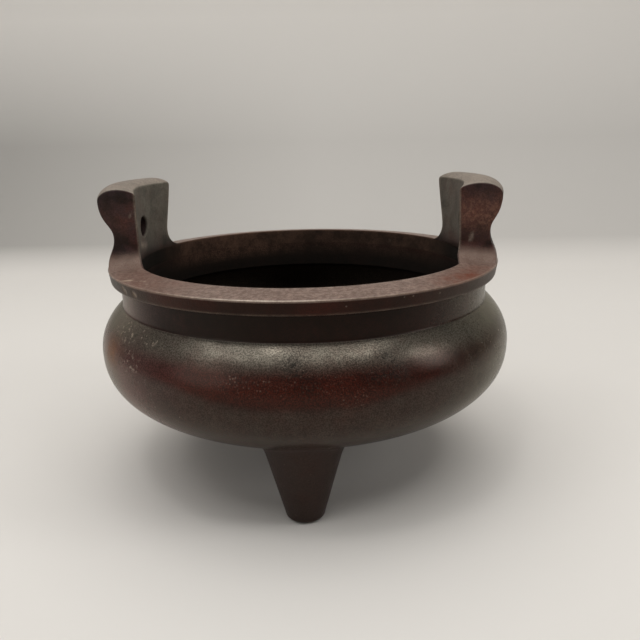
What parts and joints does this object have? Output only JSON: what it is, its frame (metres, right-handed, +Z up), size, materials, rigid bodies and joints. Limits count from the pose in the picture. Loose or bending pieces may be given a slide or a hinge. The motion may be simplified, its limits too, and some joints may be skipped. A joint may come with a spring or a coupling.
{
  "type": "tripod incense burner",
  "caption": "Squat round cast bronze incense burner with an everted sloping rim, upright pierced ears on the rim and plain conical feet.",
  "frame": {"origin": "on the ground under the middle of the bowl", "axes": "+Z up through the mouth, +X towards the right ear, -Y towards the front leg"},
  "size_m": [0.142, 0.142, 0.1018],
  "materials": {
    "bowl_bronze": "cast bronze with a dark red-brown patina, satin, finely pitted",
    "rim_bronze": "the same bronze, rubbed paler and a little rusty on top of the rim",
    "ear_bronze": "the same bronze, mottled red-brown, dusty grey on the inner faces",
    "leg_bronze": "the same bronze, nearly black"
  },
  "bodies": {
    "root": {"bowl": "bowl_bronze", "rim_ring": "rim_bronze", "right_ear": "ear_bronze", "left_ear": "ear_bronze", "front_leg": "leg_bronze", "rear_right_leg": "leg_bronze", "rear_left_leg": "leg_bronze"}
  },
  "joints": []
}
